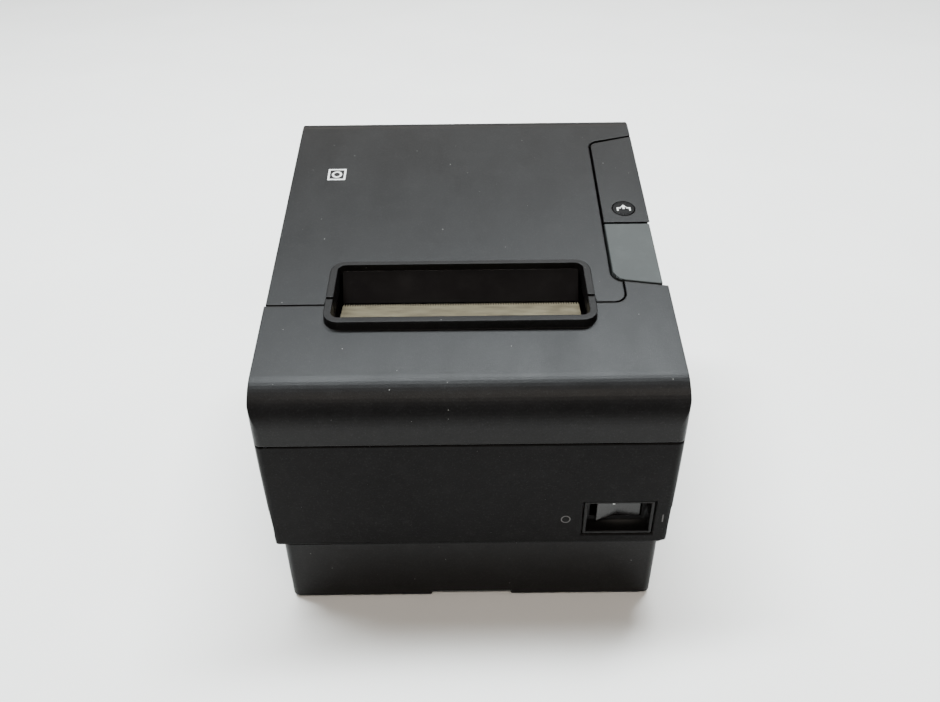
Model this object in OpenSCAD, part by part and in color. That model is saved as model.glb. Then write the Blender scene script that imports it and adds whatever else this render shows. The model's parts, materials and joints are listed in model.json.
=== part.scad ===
// Receipt printer with a drop-in paper bin, a hinged roll cover and a paper cutter.
// Frame: origin at the middle of the footprint on the table, front faces -Y, up is +Z.

/* [Body] */
// Overall width, at the front panel
body_w = 145; // [144:0.5:146]
// Overall depth
body_d = 170; // [169:0.5:171]
// Overall height, at the top of the rear curve
body_h = 131.8; // [131:0.2:133]
// Slope of the top surface, in degrees
slope = 13.4; // [13:0.1:13.8]
// Radius where the top rolls into the front face
front_r = 14.5; // [13.5:0.5:15]
// Radius where the top rolls into the back
back_r = 12; // [11:0.5:13]
// Height of the parting line between case and covers
parting_z = 77.5; // [77.3:0.1:77.7]
// Wall thickness of the moulded shells
wall = 2.3; // [2.1:0.1:2.5]

/* [Paper slot] */
// Middle of the slot across the width
slot_x = -2.7; // [-2.9:0.1:-2.5]
// Outer width of the raised rim round the slot
rim_w = 95.6; // [95:0.2:96]
// Wall of the raised rim
rim_wall = 2.6; // [2.4:0.1:2.8]
// Teeth on the tear bar
tear_teeth = 94; // [60:2:110]

/* [Paper bin] */
// Radius of the bin's trough
bin_r = 43; // [41:0.5:43.5]
// Width between the bin's side walls
bin_w = 83; // [80:0.5:83.5]

/* [Hidden] */
$fn = 64;
half_w = body_w / 2;
front_y = -body_d / 2;
back_y = body_d / 2;

// Top surface: a sloping line that two arcs join to the front and back faces
rise = tan(slope);
cover_back_y = back_y - 6.8;
back_cy = cover_back_y - back_r;
back_cz = body_h - back_r;
top_z0 = back_cz - rise * back_cy + back_r / cos(slope);
front_cy = front_y + front_r;
front_cz = top_z0 + rise * front_cy - front_r / cos(slope);
arc_steps = 16;
seam = 0.3;

// Case and base
foot_h = 1;
base_top = 30;
case_bottom = 30.2;
base_half = 68.8;
base_front = front_y + 0.7;
case_half_bottom = half_w - 1.5;
case_wall = 2.5;

// Parting lines on the top, across the depth
part_y = -42;
rim_part_y = -41;
tower_x = 53.2;
tower_right = half_w - 1.5;
tower_front = -31;
tower_step = 1.6;
tower_drop = 12.6;
edge_skew = 0.16;
panel_gap = 1;
panel_front = 0.35;
panel_rear = 51;
panel_t = 2;
panel_skew = 0.28;
cover_left = -half_w + 0.5;
tongue_right = 56.2;
tongue_r = 4;

// Rim round the slot
rim_x0 = slot_x - rim_w / 2;
rim_x1 = slot_x + rim_w / 2;
rim_front = -54;
rim_back = -20.4;
rim_front_z = top_z0 + rise * rim_front + 3.3;
rim_back_z = top_z0 + rise * rim_back + 0.1;
rim_bottom_z = 97.9;
rim_r = 5.6;

// Cover hinge
hinge_y = 79;
hinge_z = 80;
knuckle_r = 4;
hinge_pin_r = 1.5;
fit = 0.05;

// Print mechanism, with its own side plates
plate_t = 1.5;
mech_x0 = slot_x - 49;
mech_x1 = slot_x + 49.2;
mech_front = -62;
mech_back = -14;
mech_bottom = 30;
mech_top = 94;
platen_y = -24;
platen_z = 86;
platen_r = 7;
shaft_r = 2.5;
roller_half = 41.3;
gear_x0 = -58;
gear_x1 = -53;
gear_m = 1;
platen_teeth = 20;
idler_teeth = 24;
pinion_teeth = 12;
idler_z = platen_z - gear_m * (platen_teeth + idler_teeth) / 2;
pinion_step = gear_m * (idler_teeth + pinion_teeth) / 2 / sqrt(2);
motor_y = platen_y - pinion_step;
motor_z = idler_z - pinion_step;
lock_y = -44;
lock_z = 72;
tooth_root_y = -33.2;
tooth_tip_y = -31.5;

// Paper bin
bin_y = 29;
bin_z = 78;
bin_top = 77;
bin_wall = 2;

// Power switch
switch_x0 = 40.2;
switch_x1 = 65.5;
switch_z0 = 34;
switch_z1 = 50.2;
rocker_x = (switch_x0 + switch_x1) / 2;
rocker_y = front_y + 8;
rocker_z0 = 38.3;
rocker_z1 = 48.3;
rocker_tilt = 8;

// Cover lever and feed button, measured along the slope and down from it
lever_front = -31.9;
lever_back = -0.3;
lever_pin_u = -3;
lever_pin_h = -4;
lever_pin_r = 0.9;
lever_r = 4;
lever_right = tower_right - 0.2;
ear_x = [54.9, 66.8];
ear_w = 1.4;
button_x = 61.9;
button_u = 8.75;
button_r = 4.3;

// Rear connectors, on the main board
board_z = 6;
board_t = 1.6;
port_y = 66;
plate_y = 80.4;
screw_x = 64.5;
screw_front_y = -54;
screw_back_y = 76.5;

plastic = [0.13, 0.13, 0.14];
dark = [0.06, 0.06, 0.07];
gloss = [0.03, 0.03, 0.04];
lever_grey = [0.47, 0.49, 0.48];
steel = [0.70, 0.71, 0.73];
blade_beige = [0.72, 0.68, 0.56];
pcb_green = [0.05, 0.30, 0.15];
nylon = [0.88, 0.87, 0.82];

// A height on the top surface
function top_z(y) = top_z0 + rise * y;
// Depth of the slanted edge in front of the lever
function front_edge(x) = tower_front - edge_skew * (x - tongue_right);
// Points of an arc from angle a0 to a1
function arc(cy, cz, r, a0, a1) =
  [for (i = [0:arc_steps]) let (a = a0 + (a1 - a0) * i / arc_steps)
    [cy + r * cos(a), cz + r * sin(a)]];

// A box from its lowest to its highest corner
module box(lo, hi) {
  translate(lo)
    cube(hi - lo);
}

// A round bar along X
module x_bar(x0, x1, y, z, r) {
  translate([x0, y, z])
    rotate([0, 90, 0])
      cylinder(h = x1 - x0, r = r);
}

// A round bar along Z
module z_bar(x, y, z0, z1, r) {
  translate([x, y, z0])
    cylinder(h = z1 - z0, r = r);
}

// A side-view outline drawn in Y and Z, carried across X
module across(x0, x1) {
  translate([x0, 0, 0])
    rotate([90, 0, 90])
      linear_extrude(x1 - x0)
        children();
}

// Children measured along the sloping top and down from it
module on_slope() {
  translate([0, 0, top_z0])
    rotate([slope, 0, 0])
      children();
}

// A rectangle with round corners
module round_rect(x0, x1, y0, y1, r) {
  translate([x0 + r, y0])
    square([x1 - x0 - 2 * r, y1 - y0]);
  translate([x0, y0 + r])
    square([x1 - x0, y1 - y0 - 2 * r]);
  for (x = [x0 + r, x1 - r], y = [y0 + r, y1 - r])
    translate([x, y])
      circle(r);
}

// The whole upper body from the side, drawn in by t
module side_profile(t) {
  polygon(concat(
    [[front_y + t, parting_z + seam - 0.01]],
    arc(front_cy, front_cz, front_r - t, 180, 90 + slope),
    arc(back_cy, back_cz, back_r - t, 90 + slope, 0),
    [[cover_back_y - t, parting_z + seam - 0.01]]));
}

// A block that widens upward, with round upright corners
module drafted_block(half0, half1, y0, y1, z0, z1, r) {
  intersection() {
    translate([0, 0, z0])
      linear_extrude(z1 - z0)
        round_rect(-half1, half1, y0, y1, r);
    translate([0, y1 + 1, 0])
      rotate([90, 0, 0])
        linear_extrude(y1 - y0 + 2)
          polygon([[-half0, z0 - 1], [half0, z0 - 1], [half1, z1], [-half1, z1]]);
  }
}

// The ring of the slot's rim, between two depths
module rim_ring(y0, y1) {
  intersection() {
    linear_extrude(150)
      difference() {
        round_rect(rim_x0, rim_x1, rim_front, rim_back, rim_r);
        round_rect(rim_x0 + rim_wall, rim_x1 - rim_wall, rim_front + rim_wall,
          rim_back - rim_wall * 0.65, rim_r - rim_wall);
      }
    across(rim_x0 - 1, rim_x1 + 1)
      polygon([[rim_front, rim_bottom_z], [rim_front, rim_front_z],
        [rim_back, rim_back_z], [rim_back, rim_bottom_z + 4],
        [rim_part_y, rim_bottom_z + 4], [rim_part_y, rim_bottom_z]]);
    box([rim_x0 - 1, y0, 0], [rim_x1 + 1, y1, 150]);
  }
}

// The hole through a shell, inside the rim
module rim_hole() {
  translate([0, 0, 95])
    linear_extrude(30)
      round_rect(rim_x0 + 0.2, rim_x1 - 0.2, rim_front + 0.2, rim_back - 0.2, rim_r - 0.2);
}

// Where the moulded parts are screwed together
module at_case_screws() {
  for (x = [-screw_x, screw_x], y = [screw_front_y, screw_back_y])
    translate([x, y, 0])
      children();
}

// A spur gear's outline: straight-flanked teeth with backlash
module gear_outline(teeth) {
  pitch_r = gear_m * teeth / 2;
  tip_r = pitch_r + 0.75 * gear_m;
  root_r = pitch_r - 1.15 * gear_m;
  step = 360 / teeth;
  polygon([for (i = [0:teeth - 1], k = [0:3])
    let (r = (k == 1 || k == 2) ? tip_r : root_r,
      a = step * (i + [-0.27, -0.085, 0.085, 0.27][k]))
    [r * cos(a), r * sin(a)]]);
}

// A gear on a shaft along X, with tooth 0 turned to angle a
module x_gear(teeth, y, z, a, bore_r) {
  translate([gear_x0, y, z])
    rotate([90, 0, 90])
      difference() {
        linear_extrude(gear_x1 - gear_x0)
          rotate(a)
            gear_outline(teeth);
        translate([0, 0, -1])
          cylinder(h = gear_x1 - gear_x0 + 2, r = bore_r);
      }
}

module base_tray() color(plastic) {
  difference() {
    union() {
      difference() {
        drafted_block(base_half - 0.5, base_half, base_front, -base_front,
          foot_h, base_top, 3);
        drafted_block(base_half - wall - 0.5, base_half - wall, base_front + wall,
          -base_front - wall, foot_h + wall, base_top + 1, 1.5);
      }
      at_case_screws()
        z_bar(0, 0, foot_h + 1, base_top, 4);
      for (x = [mech_x0 + 6, mech_x1 - 6], y = [-57, -20])
        z_bar(x, y, foot_h + 1, mech_bottom, 3.5);
      for (x = [-55, 45], y = [-6, 60])
        z_bar(x, y, foot_h + 1, board_z, 3);
    }
    at_case_screws() {
      z_bar(0, 0, -1, base_top + 1, 1.7);
      z_bar(0, 0, -1, foot_h + 3, 3.2);
    }
    box([-15, base_front - 1, 0], [15, base_front + wall + 1, foot_h + 1.5]);
    box([-60, plate_y, board_z + board_t - 0.6], [48, back_y, 27]);
    for (x = [-50:10:40])
      box([x, -50, 0], [x + 4, -28, foot_h + wall + 1]);
  }
}

module main_case() color(plastic) {
  difference() {
    union() {
      difference() {
        drafted_block(case_half_bottom, half_w, front_y, back_y,
          case_bottom, parting_z - 0.2, 3);
        drafted_block(case_half_bottom - case_wall, half_w - case_wall,
          front_y + case_wall, back_y - case_wall, case_bottom - 1, parting_z + 1, 1);
      }
      at_case_screws()
        z_bar(0, 0, case_bottom, 48, 4.5);
      for (s = [-1, 1]) {
        // Ledges for the paper bin
        box([s > 0 ? 63 : -half_w + 1.9, -5, 66.5], [s > 0 ? half_w - 1.9 : -63, 65, 70]);
        // Guide ribs for the front panel
        box([s > 0 ? 66.5 : -half_w + 1.9, -80, 71], [s > 0 ? half_w - 1.9 : -66.5, -50, 76]);
        box([s > 0 ? 66.5 : -68.5, -80, 74], [s > 0 ? 68.5 : -66.5, -50, 84]);
        // Hinge posts
        box([s > 0 ? 30 : -44, 76, 66], [s > 0 ? 44 : -30, back_y - 1, 75]);
        box([s > 0 ? 30 : -44, 76, 74], [s > 0 ? 44 : -30, 82, hinge_z]);
        x_bar(s > 0 ? 30 : -44, s > 0 ? 44 : -30, hinge_y, hinge_z, knuckle_r);
      }
    }
    at_case_screws()
      z_bar(0, 0, case_bottom - 1, 44, 1.3);
    x_bar(-60, 60, hinge_y, hinge_z, hinge_pin_r + fit);
    // Room for the cover's own knuckles
    for (x = [[-62, -44], [-30, 30], [44, 62]])
      box([x[0], 70, 75], [x[1], back_y + 1, 80]);
    box([switch_x0, front_y - 1, switch_z0], [switch_x1, front_y + case_wall + 1, switch_z1]);
  }
}

// The front panel from above
module front_plan() {
  difference() {
    round_rect(-half_w, half_w, front_y, -28, 3);
    translate([-half_w - 1, part_y - seam])
      square([half_w + 1 + tongue_right + 0.7, 30]);
    polygon([[tongue_right, front_edge(tongue_right) - 2 * seam],
      [half_w + 1, front_edge(half_w + 1) - 2 * seam], [half_w + 1, 0], [tongue_right, 0]]);
  }
  translate([tongue_right + 0.7 - 4.6, part_y - seam])
    difference() {
      translate([0, -0.1])
        square([4.7, 4.7]);
      translate([0, 4.6])
        circle(4.6);
      translate([-1, 4.6])
        square([5.6, 5]);
    }
}

module front_panel() color(plastic) {
  difference() {
    intersection() {
      across(-half_w, half_w)
        side_profile(0);
      translate([0, 0, 70])
        linear_extrude(60)
          front_plan();
    }
    across(-half_w + wall, half_w - wall)
      side_profile(wall);
    box([-half_w + wall, front_y + wall, 70], [half_w - wall, 0, parting_z + 1]);
    rim_hole();
  }
  rim_ring(rim_front, rim_part_y - 2 * seam);
  // Shelf under the tear bar
  box([rim_x0 + 1, rim_front + rim_wall - 1, rim_bottom_z],
    [rim_x1 - 1, rim_front + rim_wall + 2, rim_bottom_z + 1.05]);
  // Guide pads that run along the case's ribs
  for (s = [-1, 1]) {
    box([s > 0 ? 68.8 : -half_w + 2, -78, 79], [s > 0 ? half_w - 2 : -68.8, -52, 82]);
    box([s > 0 ? 66.5 : -half_w + 2, -78, 84.4], [s > 0 ? half_w - 2 : -66.5, -52, 86]);
  }
}

// The roll cover from above, drawn in by t
module cover_plan(t) {
  translate([cover_left + t, part_y + seam + t])
    square([tower_x - panel_gap - cover_left - 2 * t, back_y - part_y]);
  polygon([[tower_x - panel_gap - t - 1, panel_rear + panel_gap + t],
    [tower_right - t, panel_rear + panel_gap + t + panel_skew * (tower_right - tower_x)],
    [tower_right - t, back_y], [tower_x - panel_gap - t - 1, back_y]]);
}

// The round inner corner of the cover behind the control panel
module cover_corner() {
  r = 3 + panel_gap;
  translate([tower_x + 3, panel_rear - 2.2])
    difference() {
      translate([-r - 0.1, 0])
        square([r + 0.1, r]);
      circle(r);
    }
}

// The tongue of the cover beside the slot, with a round recess for the lever's corner
module cover_tongue() {
  difference() {
    round_rect(40, tongue_right, part_y + seam, -20, tongue_r);
    round_rect(tower_x - panel_gap, 70, -32.2, 0, lever_r + panel_gap);
  }
  translate([tower_x - panel_gap - 12, -32.3])
    square([12, 10]);
}

module roll_cover() color(plastic) {
  difference() {
    union() {
      difference() {
        intersection() {
          across(cover_left, tower_right)
            side_profile(0);
          translate([0, 0, 70])
            linear_extrude(70) {
              cover_plan(0);
              cover_corner();
              cover_tongue();
            }
        }
        // Hollow under the skin, behind the slot
        intersection() {
          across(cover_left + wall, tower_right - wall)
            side_profile(wall + 0.2);
          translate([0, 0, 60])
            linear_extrude(80)
              cover_plan(wall);
        }
        // Only the skin reaches forward over the mechanism
        across(cover_left + wall, tower_right)
          polygon([[-60, 60], [-60, top_z(-60) - 2.6], [-28, top_z(-28) - 2.6], [-28, 60]]);
        // The skin's edge along the tower is a shallow lip
        across(tower_x - panel_gap - wall - 1, tower_right + 1)
          polygon([[-40, 60], [-40, top_z(-40) - 8], [50, top_z(50) - 8], [50, 60]]);
        // The back stops above the hinge pin, and higher above the case's posts
        box([-62, 60, 60], [62, cover_back_y + 1, hinge_z + 2.2]);
        for (x = [[-44.5, -29.5], [29.5, 44.5]])
          box([x[0], 60, 60], [x[1], cover_back_y + 1, hinge_z + 4.5]);
        rim_hole();
        // Clear of the front half of the rim
        box([rim_x0 - 0.6, part_y - 1, 95], [rim_x1 + 0.6, rim_part_y + 2 * seam, 130]);
      }
      rim_ring(rim_part_y + 2 * seam, rim_back);
      for (s = [-1, 1]) {
        box([s > 0 ? 44.5 : -58, 75.6, hinge_z], [s > 0 ? 58 : -44.5, cover_back_y, 86]);
        x_bar(s > 0 ? 44.5 : -58, s > 0 ? 58 : -44.5, hinge_y, hinge_z, knuckle_r);
      }
      // Middle barrel of the hinge
      box([-29.5, 75.6, hinge_z], [29.5, cover_back_y, 86]);
      x_bar(-29.5, 29.5, hinge_y, hinge_z, knuckle_r);
    }
    x_bar(-60, 60, hinge_y, hinge_z, hinge_pin_r + fit);
    // Clear of the case's hinge posts
    for (x = [[-44.5, -29.5], [29.5, 44.5]])
      x_bar(x[0], x[1], hinge_y, hinge_z, knuckle_r + 0.5);
  }
}

// The fixed wall under the lever and the control panel
module side_tower() color(plastic) {
  wall_front = front_edge(tower_right) + 0.3;
  difference() {
    union() {
      // Outer wall, in line with the case
      intersection() {
        across(tower_right - wall, tower_right)
          polygon([[wall_front, parting_z + seam], [wall_front, top_z(wall_front) - tower_drop],
            [tower_step, top_z(tower_step) - tower_drop], [tower_step, top_z(tower_step) - 2.4],
            [55.6, top_z(55.6) - 2.4], [55.6, parting_z + seam]]);
        box([60, -40, 70], [80, 55.6, 130]);
      }
      // Tongue inside the case, standing on the ledge
      box([tower_right - wall - 1.8, -4, 70], [tower_right - wall, 54, 90]);
      // Inner wall, standing on the bin's flange
      across(tower_x, tower_x + 1.5)
        polygon([[-28, 78], [-28, top_z(-28) - tower_drop],
          [tower_step, top_z(tower_step) - tower_drop], [tower_step, top_z(tower_step) - 2.4],
          [50.5, top_z(50.5) - 2.4], [50.5, 72], [4, 72], [4, 78]]);
      // Floor and rear wall
      box([tower_x, -28, 78], [tower_right - wall, 50.5, 79.5]);
      across(tower_x, tower_right - wall)
        polygon([[49, 78], [49, top_z(49) - 2.4], [50.5, top_z(50.5) - 2.4], [50.5, 78]]);
      // Shelves for the panel board
      on_slope()
        for (u = [6, 40])
          translate([tower_x + 1, u, -12])
            cube([3, 5, 3.4]);
      // Ears for the lever's pin
      on_slope()
        for (x = ear_x) {
          x_bar(x, x + ear_w, lever_pin_u, lever_pin_h, 1.5);
          translate([x, lever_pin_u - 1.5, -40])
            cube([ear_w, 3, 40 + lever_pin_h]);
        }
    }
    box([tower_x - 1, -40, 50], [tower_right - wall - 2, 50, 78]);
    on_slope()
      x_bar(50, 68.9, lever_pin_u, lever_pin_h, lever_pin_r + 0.02);
  }
  box([tower_x, 4, 72], [tower_x + 1.5, 50.5, 78.5]);
}

// The control panel from above
module panel_plan() {
  k = 1 / cos(slope);
  difference() {
    polygon([[tower_x, panel_front], [tower_right, panel_front],
      [tower_right, (panel_rear + panel_skew * (tower_right - tower_x)) * k],
      [tower_x + 3, (panel_rear + panel_skew * 3) * k], [tower_x, (panel_rear - 2.2) * k]]);
    translate([button_x, button_u])
      circle(button_r + 0.25);
  }
  translate([tower_x + 3, (panel_rear - 2.2) * k])
    difference() {
      circle(3);
      square([3, 3]);
    }
}

module control_panel() color(plastic) {
  on_slope()
    difference() {
      translate([0, 0, -panel_t])
        linear_extrude(panel_t)
          panel_plan();
      // Front edge undercut, so that the lever's rear edge swings clear
      across(tower_x - 1, tower_right + 1)
        polygon([[-1, 0], [panel_front, 0], [panel_front + panel_t + 1, -panel_t - 1],
          [-1, -panel_t - 1]]);
    }
  // Lip down the outer side
  across(tower_right - 1, tower_right)
    polygon([[3, top_z(3) - 2.35], [3, top_z(3) - 1], [55, top_z(55) - 1],
      [55, top_z(55) - 2.35]]);
}

module feed_button() color(dark) {
  on_slope()
    translate([button_x, button_u, 0]) {
      difference() {
        translate([0, 0, -5])
          cylinder(h = 5.1, r = button_r);
        translate([0, 0, -5.1])
          cylinder(h = 4, r = button_r - 1);
        translate([0, 0, -0.1])
          difference() {
            cylinder(h = 1, r = button_r - 0.6);
            translate([0, 0, -1])
              cylinder(h = 3, r = button_r - 0.9);
          }
      }
      translate([0, 0, -3])
        difference() {
          cylinder(h = 0.7, r = button_r + 1);
          translate([0, 0, -1])
            cylinder(h = 3, r = button_r - 1);
        }
      translate([0, 0, -5])
        cylinder(h = 4, r = 1.2);
    }
}

module panel_board() color(pcb_green) {
  on_slope() {
    translate([tower_x + 2, 4, -8.6])
      cube([13, 44, 1.4]);
    // Push switch under the button
    translate([button_x - 3, button_u - 3, -7.2])
      cube([6, 6, 1.2]);
    for (u = [20, 28, 36])
      translate([button_x, u, -7.2])
        cylinder(h = 3.4, r = 1.5);
  }
}

module cover_lever() color(lever_grey) {
  skirt = 1.6;
  x0 = tower_x + lever_r;
  front_right = lever_front - edge_skew / cos(slope) * (lever_right - x0);
  on_slope()
    difference() {
      union() {
        // Top plate, with one round corner and a slanted front edge
        translate([0, 0, -2.2])
          linear_extrude(2.2) {
            polygon([[x0, lever_front], [lever_right, front_right], [lever_right, lever_back],
              [x0, lever_back]]);
            translate([tower_x, lever_front + lever_r])
              square([lever_r + 2, lever_back - lever_front - lever_r]);
            translate([x0, lever_front + lever_r])
              circle(lever_r);
          }
        // Skirts: outer, set back a little so that it swings clear, front and inner
        translate([lever_right - skirt, front_right + 1, -12])
          cube([skirt, lever_pin_u - front_right - 1, 11]);
        translate([0, 0, -9])
          linear_extrude(8)
            polygon([[x0, lever_front], [lever_right, front_right],
              [lever_right, front_right + skirt], [x0, lever_front + skirt]]);
        translate([tower_x, lever_front + lever_r, -9])
          cube([skirt - 0.1, lever_pin_u - lever_front - lever_r, 8]);
        // Ears on the pin, just inside the tower's own
        for (x = [ear_x[0] + ear_w + 0.1, ear_x[1] - ear_w - 0.4]) {
          x_bar(x, x + ear_w, lever_pin_u, lever_pin_h, 2);
          translate([x, lever_pin_u - 2, lever_pin_h])
            cube([ear_w, 4, 2]);
          translate([x, -16, -5])
            cube([ear_w, 14, 3.5]);
        }
      }
      x_bar(50, 68.9, lever_pin_u, lever_pin_h, lever_pin_r + fit);
    }
}

module lever_pin() color(steel) {
  on_slope()
    x_bar(ear_x[0], ear_x[1] + ear_w, lever_pin_u, lever_pin_h, lever_pin_r);
}

module lever_spring() color(steel) {
  on_slope()
    difference() {
      union()
        for (x = [58.6:0.9:63.6])
          translate([x, lever_pin_u, lever_pin_h])
            rotate([0, 90, 0])
              rotate_extrude()
                translate([1.3, 0])
                  circle(0.46, $fn = 16);
      x_bar(50, 68.9, lever_pin_u, lever_pin_h, lever_pin_r + 0.03);
    }
}

// A cross shaft with two hooks that hold the platen shaft down
module lock_hooks() color(steel) {
  x_bar(mech_x0 - 2, mech_x1 + 8, lock_y, lock_z, 2);
  for (x = [mech_x0 + 2.3, mech_x1 - 3.8])
    across(x, x + 1.5)
      polygon([[-48, 69.5], [-44, 67.5], [-40, 69.5], [-28.5, 81.5], [-28.4, 88.9],
        [-23.6, 88.9], [-23.6, 90.6], [-25.4, 91.6], [-31, 91.6], [-41, 80], [-48, 75]]);
}

module switch_housing() color(dark) {
  difference() {
    union() {
      box([switch_x0 + 0.15, front_y + 0.3, switch_z0 + 0.15],
        [switch_x1 - 0.15, front_y + 7, switch_z1 - 0.15]);
      box([rocker_x - 11, front_y + 6, rocker_z0 - 2], [rocker_x + 11, front_y + 16, switch_z1 - 0.15]);
      // Terminals
      for (x = [-6, 0, 6])
        box([rocker_x + x - 0.4, front_y + 15, 41], [rocker_x + x + 0.4, front_y + 22, 45]);
    }
    box([switch_x0 + 1.4, front_y - 1, switch_z0 + 1.4],
      [switch_x1 - 1.4, front_y + 5.6, switch_z1 - 1.2]);
    box([rocker_x - 9.4, front_y + 4, rocker_z0 - 0.3], [rocker_x + 9.4, front_y + 13, rocker_z1 + 0.3]);
    z_bar(rocker_x, rocker_y, rocker_z0 - 1.2, rocker_z1 + 1.2, 1 + fit);
  }
}

module power_rocker() color(dark) {
  translate([rocker_x, rocker_y, rocker_z0])
    rotate(rocker_tilt) {
      linear_extrude(rocker_z1 - rocker_z0)
        polygon([[-8.3, -4.5], [0, -2.8], [8.3, -4.5], [8.3, -3], [5, 3], [-5, 3], [-8.3, -3]]);
      translate([0, 0, -0.9])
        cylinder(h = rocker_z1 - rocker_z0 + 1.8, r = 1);
    }
}

// Steel chassis: two side plates, a floor and a bar behind the head springs
module mech_frame() color(steel) {
  difference() {
    union() {
      for (x = [mech_x0, mech_x1 - plate_t])
        across(x, x + plate_t)
          polygon([[mech_front, mech_bottom], [mech_back, mech_bottom], [mech_back, 60],
            [mech_back - 2, platen_z + 2], [mech_back - 2, mech_top - 2],
            [mech_back - 4, mech_top], [mech_front + 6, mech_top], [mech_front, mech_top - 6]]);
      box([mech_x0, mech_front, mech_bottom], [mech_x1, mech_back, mech_bottom + plate_t]);
      box([mech_x0 + 0.5, -50, 78], [mech_x1 - 0.5, -48, mech_top]);
      x_bar(gear_x0 - 1.5, mech_x0 + 0.5, platen_y, idler_z, 2);
    }
    // Seats for the platen shaft, open upward
    for (x = [mech_x0 - 0.5, mech_x1 - plate_t - 0.5])
      across(x, x + plate_t + 1)
        translate([platen_y - shaft_r - 0.5, platen_z])
          square([2 * shaft_r + 1, 20]);
    x_bar(mech_x0 - 0.4, mech_x0 + plate_t + 1, platen_y, platen_z, shaft_r + 0.5);
    x_bar(mech_x1 - plate_t - 1, mech_x1 + 1, platen_y, platen_z, shaft_r + 0.5);
    x_bar(mech_x0 - 1, mech_x1 + 1, lock_y, lock_z, 2 + fit);
    x_bar(mech_x0 - 0.4, mech_x0 + plate_t + 0.1, motor_y, motor_z, 8.05);
    for (x = [mech_x0 + 6, mech_x1 - 6], y = [-57, -20])
      z_bar(x, y, mech_bottom - 1, mech_bottom + 3, 1.6);
  }
}

module thermal_head() color([0.75, 0.72, 0.66]) {
  box([slot_x - roller_half, -33.6, 79], [slot_x + roller_half, -32, 93]);
  // Glazed heating line
  across(slot_x - roller_half + 1, slot_x + roller_half - 1)
    polygon([[-32, 82], [-31.15, 85], [-31.15, 87], [-32, 90]]);
}

module head_heatsink() color([0.78, 0.79, 0.8]) {
  box([slot_x - roller_half, -36.6, 79], [slot_x + roller_half, -33.6, 93]);
  for (z = [79.4:2.6:92])
    box([slot_x - roller_half, -40.5, z], [slot_x + roller_half, -36.5, z + 1.2]);
}

module head_springs() color(steel) {
  for (x = [-28, 0, 28])
    translate([slot_x + x, -40.5, 86])
      rotate([90, 0, 0]) {
        cylinder(h = 7.5, r = 1.6);
        for (i = [0:4])
          translate([0, 0, 0.8 + i * 1.45])
            rotate_extrude()
              translate([2, 0])
                circle(0.5, $fn = 16);
      }
}

module platen_roller() color([0.09, 0.09, 0.09]) {
  difference() {
    x_bar(slot_x - roller_half, slot_x + roller_half, platen_y, platen_z, platen_r);
    x_bar(slot_x - 50, slot_x + 50, platen_y, platen_z, shaft_r);
  }
}

module platen_shaft() color(steel) {
  x_bar(gear_x0 - 0.8, mech_x1 + 1.2, platen_y, platen_z, shaft_r);
}

module platen_bushes() color(nylon) {
  for (x = [slot_x - roller_half - 2.8, slot_x + roller_half + 0.5])
    difference() {
      x_bar(x, x + 2.3, platen_y, platen_z, 4.5);
      x_bar(x - 1, x + 4, platen_y, platen_z, shaft_r + fit);
    }
}

module platen_gear() color(nylon)
  x_gear(platen_teeth, platen_y, platen_z, -90, shaft_r);

module idler_gear() color(nylon)
  x_gear(idler_teeth, platen_y, idler_z, 90 + 180 / idler_teeth, 2 + fit);

module motor_pinion() color([0.75, 0.65, 0.35]) {
  x_gear(pinion_teeth, motor_y, motor_z, 45, 1.4);
  x_bar(gear_x0, -44, motor_y, motor_z, 1.5);
}

module feed_motor() color([0.55, 0.56, 0.58]) {
  difference() {
    union() {
      x_bar(mech_x0 + plate_t, mech_x0 + plate_t + 21, motor_y, motor_z, 17.5);
      x_bar(mech_x0, mech_x0 + plate_t + 1, motor_y, motor_z, 8);
    }
    x_bar(-60, -43, motor_y, motor_z, 1.5 + fit);
  }
}

// Serrated bar that paper is torn against
module tear_bar() color(blade_beige) {
  x0 = slot_x - 43.5;
  pitch = 87 / tear_teeth;
  translate([0, 0, 99])
    linear_extrude(1)
      polygon(concat([[x0 - 1.4, -47.6], [x0 - 1.4, -50.8], [x0 + 88.4, -50.8], [x0 + 88.4, -47.6],
        [x0 + 87, -47.6]],
        [for (i = [0:tear_teeth - 1], k = [0:1])
          [x0 + 87 - pitch * (i + k / 2), k == 0 ? tooth_root_y : tooth_tip_y]],
        [[x0, tooth_root_y], [x0, -47.6]]));
}

// Guide rails for the cutter
module cutter_frame() color([0.3, 0.3, 0.32]) {
  for (x = [mech_x0 + plate_t + 0.1, mech_x1 - plate_t - 5.1])
    difference() {
      box([x, -60, 94.1], [x + 5, -40, 97.4]);
      box([x - 1, -61, 95.1], [x + 7, -39, 96.9]);
    }
  box([mech_x0 + plate_t + 0.1, -64, 94.1], [mech_x1 - plate_t - 0.1, -60, 97.4]);
  box([mech_x0 + plate_t + 0.1, -60.1, 94.1], [mech_x0 + plate_t + 1.2, -40, 97.4]);
  box([mech_x1 - plate_t - 1.2, -60.1, 94.1], [mech_x1 - plate_t - 0.1, -40, 97.4]);
}

module cutter_blade() color(steel) {
  w = 40.8;
  translate([slot_x, 0, 95.4])
    linear_extrude(1.2)
      polygon([[-w - 4, -58], [w + 4, -58], [w + 4, -50], [w, -47], [w, -36], [0, -39.5],
        [-w, -36], [-w, -47], [-w - 4, -50]]);
}

module cutter_motor() color([0.5, 0.5, 0.52]) {
  x_bar(8, 34, -69, 87, 6);
  x_bar(34, 40, -69, 87, 3);
  box([6, -75, 79.5], [30, -63, 81.5]);
  box([6, -64, 79.5], [30, -61, 94]);
}

module fixed_blade() color(steel)
  across(slot_x - 41.8, slot_x + 41.8)
    polygon([[-30, 96.9], [-22, 96.9], [-22, 98.1], [-29, 98.1]]);

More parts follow.
